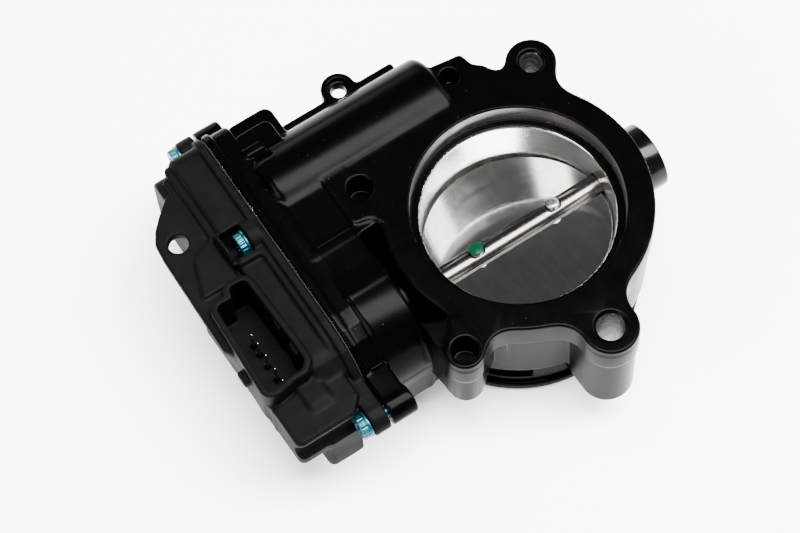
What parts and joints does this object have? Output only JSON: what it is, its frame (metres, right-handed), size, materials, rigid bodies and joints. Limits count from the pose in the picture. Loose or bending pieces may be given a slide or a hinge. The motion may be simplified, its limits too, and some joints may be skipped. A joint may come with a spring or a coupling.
{
  "type": "electronic throttle body",
  "caption": "Throttle body with a round duct, butterfly valve on a shaft, side motor and a geared drive under a cover with a wiring connector.",
  "frame": {"origin": "centre of the base of the bounding box, under the spigot end", "axes": "+X along the valve shaft from gearbox to stub, +Y towards the motor, +Z along the bore out of the inlet flange"},
  "size_m": [0.1436, 0.1352, 0.0537],
  "materials": {
    "housing": "die cast with a satin black coating",
    "cover": "matte moulded plastic",
    "seal": "matte rubber",
    "screw": "blue-green zinc plating",
    "contact": "plated contact",
    "shaft": "ground steel",
    "plate": "polished disc",
    "valve_screw": "plain steel",
    "bearing": "ground steel",
    "end_cap": "gloss black",
    "gear": "moulded nylon",
    "magnet": "sintered",
    "steel_pin": "ground steel",
    "pinion": "machined brass",
    "motor_core": "laminated steel",
    "motor_steel": "zinc-plated steel",
    "spring": "spring steel",
    "sleeve": "moulded plastic",
    "board": "coated circuit board"
  },
  "bodies": {
    "housing": {"throttle_housing": "housing", "gearbox_cover": "cover", "cover_gasket": "seal", "cover_screw_1": "screw", "cover_screw_2": "screw", "cover_screw_3": "screw", "cover_screw_4": "screw", "cover_screw_5": "screw", "cover_screw_6": "screw", "connector_pin_1": "contact", "connector_pin_2": "contact", "connector_pin_3": "contact", "connector_pin_4": "contact", "connector_pin_5": "contact", "connector_pin_6": "contact", "gear_side_bearing": "bearing", "gear_side_seal": "seal", "stub_bearing": "bearing", "stub_end_cap": "end_cap", "idler_pin": "steel_pin", "motor_can": "motor_steel", "motor_end_plate": "motor_steel", "return_spring": "spring", "spring_sleeve": "sleeve", "sensor_board": "board"},
    "valve": {"throttle_shaft": "shaft", "valve_plate": "plate", "valve_screw_1": "valve_screw", "valve_screw_2": "valve_screw", "sector_gear": "gear", "sensor_magnet": "magnet"},
    "idler": {"idler_gear": "gear"},
    "motor_rotor": {"motor_pinion": "pinion", "motor_armature": "motor_core"}
  },
  "joints": [
    {"name": "valve_turn", "type": "hinge", "parent": "housing", "child": "valve", "pos_m": [0.0238, -0.01205, 0.031], "axis": [1, 0, 0], "range_deg": [-77, 8], "stiffness_Nm_per_rad": 0.3},
    {"name": "idler_turn", "type": "hinge", "parent": "housing", "child": "idler", "pos_m": [-0.0422, 0.01385, 0.03077], "axis": [1, 0, 0], "range_deg": [-14, 115]},
    {"name": "motor_turn", "type": "hinge", "parent": "housing", "child": "motor_rotor", "pos_m": [-0.0062, 0.03515, 0.0377], "axis": [1, 0, 0], "range_deg": [-218, 25]}
  ],
  "couplings": [
    {"joint": "idler_turn", "follows": "valve_turn", "ratio": -1.4667},
    {"joint": "motor_turn", "follows": "valve_turn", "ratio": 2.8}
  ]
}
